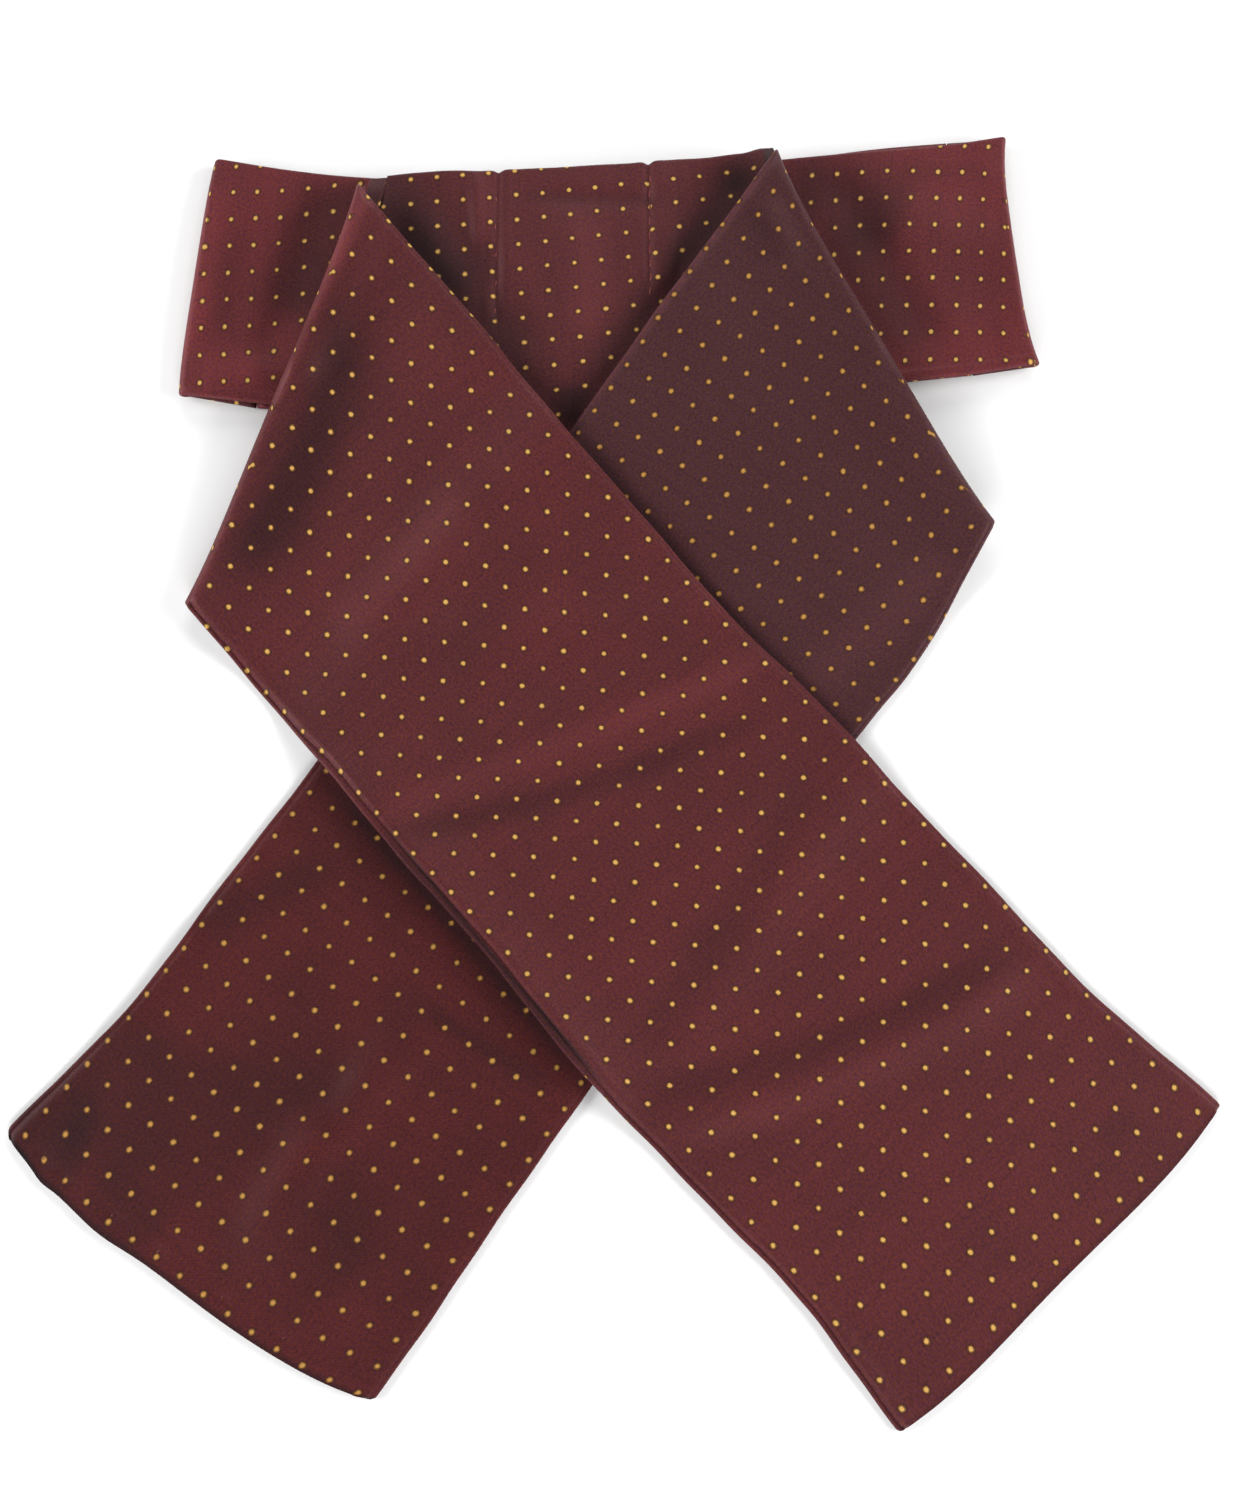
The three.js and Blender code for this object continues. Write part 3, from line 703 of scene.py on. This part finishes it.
def band_front(name):
    strip = Strip("front", FRONT, BAND_COLUMNS)
    length = strip.full_length
    reach = FOLD_REACH / length
    left = fold_lift(FRONT, 0, FOLDS["band_left"])
    right = fold_lift(FRONT, 1, FOLDS["band_right"])
    strip.fold(FOLDS["band_left"], 0, reach, left)
    strip.lay(shares(reach, 1 - reach, length, BAND_CELL), lambda x, y: left(x, y) + right(x, y), band_dent)
    strip.fold(FOLDS["band_right"], 1, 1 - reach, right)
    return cloth_piece(name, strip)


def lip(inset, width):
    """The back face's edge stands out past the front one by width: a thin lip, a groove and the face."""
    step = ease((inset - width - 0.3) / 0.7) - 1
    groove = swell(inset - width - 0.3, 0.3)
    puff = swell(inset - width - 2.2, 1.3)
    return 0.5 * step - 0.25 * groove + 0.35 * puff


def over_dent(x, y, along, across, inset):
    width = 0.9 + 0.9 * ease((along - 0.15) / 0.06) * ease((0.6 - along) / 0.08)
    return np.where(across < 0.5, lip(inset, width), 0.3 * lip(inset, 0.6))


HEM_STITCHES = [
    (-124.0, -93.9),
    (-119.0, -97.9),
    (-108.4, -105.7),
    (-98.1, -113.2),
    (-84.0, -122.6),
    (-70.5, -131.0),
]
HEM_STITCH_DIP = 0.35
CENTRE_LINES = [  # the rows of sewing that hold the scarf: x, from y, groove
    (8.0, 104.0, 0.45),
    (-27.9, 97.0, 0.4),
]


def under_dent(x, y, along, across, inset):
    shown = 0.35 + 0.45 * ease((along - 0.9) / 0.07)
    dip = np.where(across > 0.5, shown * lip(inset, 0.9), 0.3 * lip(inset, 0.6))
    for place_x, place_y in HEM_STITCHES:
        dip = dip - HEM_STITCH_DIP * np.exp(-((x - place_x) ** 2 + (y - place_y) ** 2) / 1.6)
    return np.maximum(dip, -PRESSED / 2)


def centre_dent(x, y, *rest):
    dip = x * 0
    for line, low_end, depth in CENTRE_LINES:
        held = ease((y - low_end) / 6)
        dip = dip - held * depth * swell(x - line, 0.8)
        dip = dip + held * 0.3 * swell(x - line - 2.4, 1.3)
        dip = dip + held * 0.2 * swell(x - line + 2.2, 1.2)
    return dip


def under_hem(across):
    wave = 0.8 * swell(across - 0.70, 0.08) + 0.4 * swell(across - 0.37, 0.16)
    return wave + 0.6 * swell(across - 0.875, 0.03)


def over_hem(across):
    return 0.3 * np.sin(across * 9 + 0.5)


scarf_over = tail("scarf_over", "over", OVER, over_dent, edge_trim((1.0, 0.8), over_hem), 0.3)
scarf_under = tail("scarf_under", "under", UNDER, under_dent, edge_trim((1.5, 2.3), under_hem), 0.75)
scarf_centre = plain_strip("scarf_centre", "centre", CENTRE, spacing=56, cell=1.4, dent=centre_dent,
                           trim=edge_trim(notches=[(8.0, 0.6), (-27.8, 0.5)]),
                           fine=[(0.27, 0.37), (0.585, 0.665)])
neckband_front = band_front("neckband_front_cloth")
neckband_back_left = plain_strip("neckband_back_left_cloth", "back_left", BACK_LEFT, spacing=24, cell=2.6)
neckband_back_right = plain_strip("neckband_back_right_cloth", "back_right", BACK_RIGHT, spacing=24, cell=2.6)


def stitch_row(name, stitches, size):
    """Small stitches of thread: each at x, y, on a face at height z, and turned by degrees."""
    form = bmesh.new()
    shape = Matrix.Diagonal((*[v * MM for v in size], 1.0))
    for x, y, z, turn in stitches:
        place = Vector(((x + PLAN_SHIFT[0]) * MM, (y + PLAN_SHIFT[1]) * MM, z * MM))
        matrix = Matrix.Translation(place) @ Matrix.Rotation(math.radians(turn), 4, "Z") @ shape
        bmesh.ops.create_uvsphere(form, u_segments=10, v_segments=6, radius=0.5, matrix=matrix)
    for face in form.faces:
        face.smooth = True
    return mesh_piece(name, form)


def on_centre(x, y):
    """Where a stitch sits on the centre's face."""
    x, y = np.array([x]), np.array([y])
    dip = centre_dent(x, y)
    place_x, place_y, low = resting("centre", x, y)
    return place_x[0], place_y[0], low[0] + PRESSED + dip[0]


def on_hem(x, y):
    """Where a stitch sits on the under tail's face."""
    place_x, place_y, low = resting("under", np.array([x]), np.array([y]))
    return place_x[0], place_y[0], low[0] + PRESSED - HEM_STITCH_DIP


def sewn_row(x, low_end, high_end, step):
    """Stitches up the centre's face, each a little off its line and a little aslant."""
    return [(*on_centre(x + random.uniform(-0.2, 0.2), y), random.uniform(82, 98))
            for y in np.arange(low_end, high_end, step)]


# the threads lie just beside their grooves
random.seed(7)
right_row = sewn_row(8.5, low_end=106, high_end=137, step=3.6)
left_row = sewn_row(-28.3, low_end=101, high_end=136, step=7.2)
hem_row = [(*on_hem(x, y), random.uniform(20, 70)) for x, y in HEM_STITCHES]
stitches_right = stitch_row("scarf_stitches_right", right_row, (2.2, 0.42, 0.3))
stitches_left = stitch_row("scarf_stitches_left", left_row, (1.4, 0.36, 0.25))
stitches_hem = stitch_row("hem_stitches", hem_row, (1.0, 0.4, 0.3))


# ---- materials ---------------------------------------------------------------------------------
class Wire:
    """A socket that sums can be done on: each operator adds a Math node."""

    def __init__(self, finish, socket):
        self.finish = finish
        self.socket = socket

    def sum(self, kind, *others):
        return self.finish.node("ShaderNodeMath", {"operation": kind}, self, *others)[0]

    def __add__(self, other):
        return self.sum("ADD", other)

    __radd__ = __add__

    def __sub__(self, other):
        return self.sum("SUBTRACT", other)

    def __rsub__(self, other):
        return self.finish.node("ShaderNodeMath", {"operation": "SUBTRACT"}, other, self)[0]

    def __mul__(self, other):
        return self.sum("MULTIPLY", other)

    __rmul__ = __mul__


class Finish:
    """A material and the nodes that make it."""

    def __init__(self, name):
        self.material = bpy.data.materials.new(name)
        self.material.use_nodes = True
        self.tree = self.material.node_tree
        self.tree.nodes.clear()

    def node(self, kind, settings=None, *values, **named):
        """Adds a node: its settings, its inputs in order or by name; gives its outputs."""
        made = self.tree.nodes.new(kind)
        for key, value in (settings or {}).items():
            setattr(made, key, value)
        pairs = list(enumerate(values)) + [(key.replace("_", " "), value) for key, value in named.items()]
        for key, value in pairs:
            if isinstance(value, Wire):
                self.tree.links.new(value.socket, made.inputs[key])
            elif value is not None:
                made.inputs[key].default_value = value
        return [Wire(self, socket) for socket in made.outputs]

    def noise(self, place, scale, detail=2.0, rough=0.5):
        sizes = dict(Scale=scale, Detail=detail, Roughness=rough)
        return self.node("ShaderNodeTexNoise", None, Vector=place, **sizes)[0]

    def soft_step(self, value, low, high):
        settings = {"interpolation_type": "SMOOTHSTEP"}
        return self.node("ShaderNodeMapRange", settings, value, low, high, 0.0, 1.0)[0]

    def blend(self, share, first, second):
        """A mix of two colours, which come after the node's five other inputs."""
        return self.node("ShaderNodeMix", {"data_type": "RGBA"}, share, *[None] * 5, first, second)[2]

    def times(self, first, second):
        """A place or a colour, multiplied part by part."""
        return self.node("ShaderNodeVectorMath", {"operation": "MULTIPLY"}, first, second)[0]

    def surface(self, **named):
        """Ends the material with a plain surface."""
        body = self.node("ShaderNodeBsdfPrincipled", None, **named)
        self.node("ShaderNodeOutputMaterial", None, body[0])
        return self.material


def colour(red, green, blue):
    return (red, green, blue, 1.0)


def darker(shade, share):
    return colour(*[v * share for v in shade[:3]])


GOLD = (colour(0.53, 0.310, 0.086), colour(0.40, 0.21, 0.045))
# the same gold, painted darker as shade for the under tail
GOLD_PAINTED_DARKER = (colour(0.39, 0.205, 0.050), colour(0.28, 0.130, 0.026))
RING_BROWN = colour(0.12, 0.046, 0.007)
HOLLOW_SHADE = colour(0.016, 0.006, 0.005)
PAINTED_SHADE_COLOUR = colour(0.013, 0.0058, 0.0068)  # the colour that painted shade darkens the silk towards
SHOT_COOL, SHOT_WARM = colour(0.90, 0.86, 1.42), colour(1.10, 1.14, 0.60)  # how single threads differ
DOT_CORE = (0.28, 0.56)  # each from where a dot's part begins to fade to where it ends, in millimetres
DOT_RING = (0.52, 0.84)
DOT_HOLLOW = (0.72, 1.15)
DOT_STRAY = 0.2
TWILL_LINES = 1.45  # in each millimetre along, to one in each millimetre across


def pin_dots(finish, along, across):
    """Each dot is a gold core in a brown ring, with its own small error of place and size, in a hollow
    of the silk. Gives their masks and the gold's threads."""
    place = finish.node("ShaderNodeTexCoord")[3]
    row = along.sum("ROUND")
    column = across.sum("ROUND")
    number = finish.node("ShaderNodeCombineXYZ", None, row, column, 0.0)[0]
    chance = finish.node("ShaderNodeTexWhiteNoise", {"noise_dimensions": "2D"}, Vector=number)[1]
    error = finish.node("ShaderNodeSeparateColor", None, chance)
    off_along = (along - row) * DOT_ALONG + (error[0] - 0.5) * DOT_STRAY
    off_across = (across - column) * DOT_ACROSS + (error[1] - 0.5) * DOT_STRAY
    wobble = (finish.noise(place, 1500.0, 1.0) - 0.5) * 0.3
    away = (off_along * off_along * 0.85 + off_across * off_across).sum("SQRT")
    away = away + wobble + (error[2] - 0.5) * 0.08
    core, ring, hollow = [1 - finish.soft_step(away, *part) for part in (DOT_CORE, DOT_RING, DOT_HOLLOW)]
    threads = (off_across * 26.0).sum("SINE") * 0.5 + 0.5
    return core, ring, hollow, threads


def silk(name, wine, deep, start=None, dot=GOLD):
    """Wine twill with pin dots, placed by the cloth's own pattern. deep is its shade in soft patches, and
    start a darker, greyer colour near the fold that the stretch begins at, painted as shade. Painted
    shade and highlights from the mesh's own map lighten or darken it."""
    finish = Finish(name)
    pattern = finish.node("ShaderNodeUVMap", {"uv_map": "cloth"})[0]
    along, across, _ = finish.node("ShaderNodeSeparateXYZ", None, pattern)
    core, ring, hollow, threads = pin_dots(finish, along, across)
    # the weave: twill lines, uneven warp and weft threads, fine grain and soft patches
    twill = ((along * DOT_ALONG * TWILL_LINES + across * DOT_ACROSS) * math.tau).sum("SINE")
    warp = finish.noise(finish.times(pattern, (0.7, 11.0, 1.0)), 2.2, 3.0, 0.6)
    weft = finish.noise(finish.times(pattern, (4.0, 0.3, 1.0)), 1.0, 3.0, 0.6)
    grain = finish.noise(pattern, 10.0, 4.0, 0.75)
    tint = finish.noise(pattern, 11.0, 2.0, 0.7)
    cloud = finish.noise(pattern, 0.23, 3.0, 0.55)
    patch = 1 - finish.soft_step(cloud, 0.36, 0.62)
    ground = finish.blend(patch * 0.5, wine, deep)
    if start:
        ground = finish.blend(finish.soft_step(along, 9.0, 17.0), start, ground)
    # the painted shade and highlights: below 0 they darken the ground, above 0 they light it
    painted_shading_uv = finish.node("ShaderNodeUVMap", {"uv_map": "painted_shading_uv"})[0]
    tone = finish.node("ShaderNodeSeparateXYZ", None, painted_shading_uv)[0]
    ground = finish.blend(0 - tone.sum("MINIMUM", 0.0), ground, PAINTED_SHADE_COLOUR)
    shot = finish.blend(finish.soft_step(tint, 0.36, 0.64), SHOT_COOL, SHOT_WARM)
    # painted highlights lighten the ground, together with the weave's unevenness
    light = 1 + tone.sum("MAXIMUM", 0.0) + (warp - 0.5) * 0.35 + (weft - 0.5) * 0.35
    light = light + (grain - 0.5) * 2.2 + twill * 0.06
    ground = finish.times(ground, shot)
    lit = finish.node("ShaderNodeVectorMath", {"operation": "SCALE"}, ground, Scale=light)[0]
    skin = finish.blend(hollow * 0.55, lit, HOLLOW_SHADE)
    skin = finish.blend(ring, skin, RING_BROWN)
    skin = finish.blend(core, skin, finish.blend(threads * 0.3, *dot))
    height = twill * 0.006 + warp * 0.02 + grain * 0.012 + ring * (0.06 + threads * 0.02)
    return finish.surface(
        Base_Color=skin,
        Metallic=(1 - ring) * 0.25,
        Roughness=0.55 + (warp - 0.5) * 0.1 + ring * 0.05,
        Sheen_Weight=0.05,
        Sheen_Roughness=0.4,
        Sheen_Tint=colour(1.0, 0.70, 0.68),
        Specular_IOR_Level=0.18,
        Normal=finish.node("ShaderNodeBump", None, Strength=0.6, Distance=0.001, Height=height)[0],
    )


def table_paint(name, shade):
    finish = Finish(name)
    place = finish.node("ShaderNodeTexCoord")[3]
    mottle = finish.noise(place, 4.0, 2.0)
    return finish.surface(Base_Color=finish.blend(mottle * 0.3, shade, darker(shade, 0.94)), Roughness=0.7)


def thread(name, shade):
    """Twisted sewing thread."""
    finish = Finish(name)
    place = finish.node("ShaderNodeTexCoord")[3]
    strands = finish.noise(place, 2600.0, 2.0, 0.6)
    bump = finish.node("ShaderNodeBump", None, Strength=0.5, Distance=0.0002, Height=strands)[0]
    skin = finish.blend(strands, shade, darker(shade, 0.45))
    return finish.surface(Base_Color=skin, Roughness=0.5, Normal=bump)


# The tails and the centre are one silk: each copy's brightness is painted light and shade, the under tail
# darker, greyer near its fold and with darker dots.
over_silk = silk("scarf silk over", colour(0.086, 0.0168, 0.0188), colour(0.067, 0.0150, 0.0170))
under_silk = silk("scarf silk under", colour(0.069, 0.0113, 0.0124), colour(0.044, 0.0091, 0.0101),
                  start=colour(0.055, 0.0170, 0.0194), dot=GOLD_PAINTED_DARKER)
centre_silk = silk("scarf silk centre", colour(0.081, 0.0172, 0.0194), colour(0.067, 0.0152, 0.0173))
band_silk = silk("neckband silk", colour(0.113, 0.0195, 0.0226), colour(0.086, 0.0175, 0.0204))
red_thread = thread("red thread", colour(0.20, 0.018, 0.016))
wine_thread = thread("wine thread", colour(0.10, 0.012, 0.012))


# ---- rides and materials -----------------------------------------------------------------------
PIECES = [
    (scarf_over, "tail_over", "scarf_silk", over_silk),
    (scarf_under, "tail_under", "scarf_silk", under_silk),
    (scarf_centre, "crossover_centre", "scarf_silk", centre_silk),
    (neckband_front, "neckband_front", "neckband_silk", band_silk),
    (neckband_back_left, "neckband_back_left", "neckband_silk", band_silk),
    (neckband_back_right, "neckband_back_right", "neckband_silk", band_silk),
    (stitches_right, None, "scarf_silk", red_thread),
    (stitches_left, None, "scarf_silk", red_thread),
    (stitches_hem, None, "scarf_silk", wine_thread),
]
for piece, node, slot, material in PIECES:
    piece.data.materials.append(material)
    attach(piece, "root")
    if node:
        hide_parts(node)

# ---- table and light ---------------------------------------------------------------------------
table_form = bmesh.new()
bmesh.ops.create_grid(table_form, x_segments=2, y_segments=2, size=3.0)
table = mesh_piece("table", table_form)
table.location.z = -0.0003
table.data.materials.append(table_paint("white table", colour(0.86, 0.86, 0.86)))

LIGHTS = [  # name, place, power
    ("right light", (1.3, 0.05, 0.55), 27),
    ("left light", (-1.3, 0.1, 0.55), 24),
    ("near light", (0.0, -1.3, 0.55), 20),
    ("far light", (0.1, 1.3, 0.55), 10),
]
for name, place, power in LIGHTS:
    lamp = bpy.data.lights.new(name, "AREA")
    lamp.shape = "RECTANGLE"
    lamp.size, lamp.size_y = 1.0, 0.6
    lamp.energy = power
    light = link(name, lamp)
    light.location = place
    light.rotation_euler = (-Vector(place)).to_track_quat("-Z", "Y").to_euler()

world = bpy.data.worlds.new("studio")
world.use_nodes = True
backdrop = world.node_tree.nodes["Background"]
backdrop.inputs["Color"].default_value = colour(1, 1, 1)
backdrop.inputs["Strength"].default_value = 0.08
bpy.context.scene.world = world
bpy.context.scene.view_settings.view_transform = "Standard"
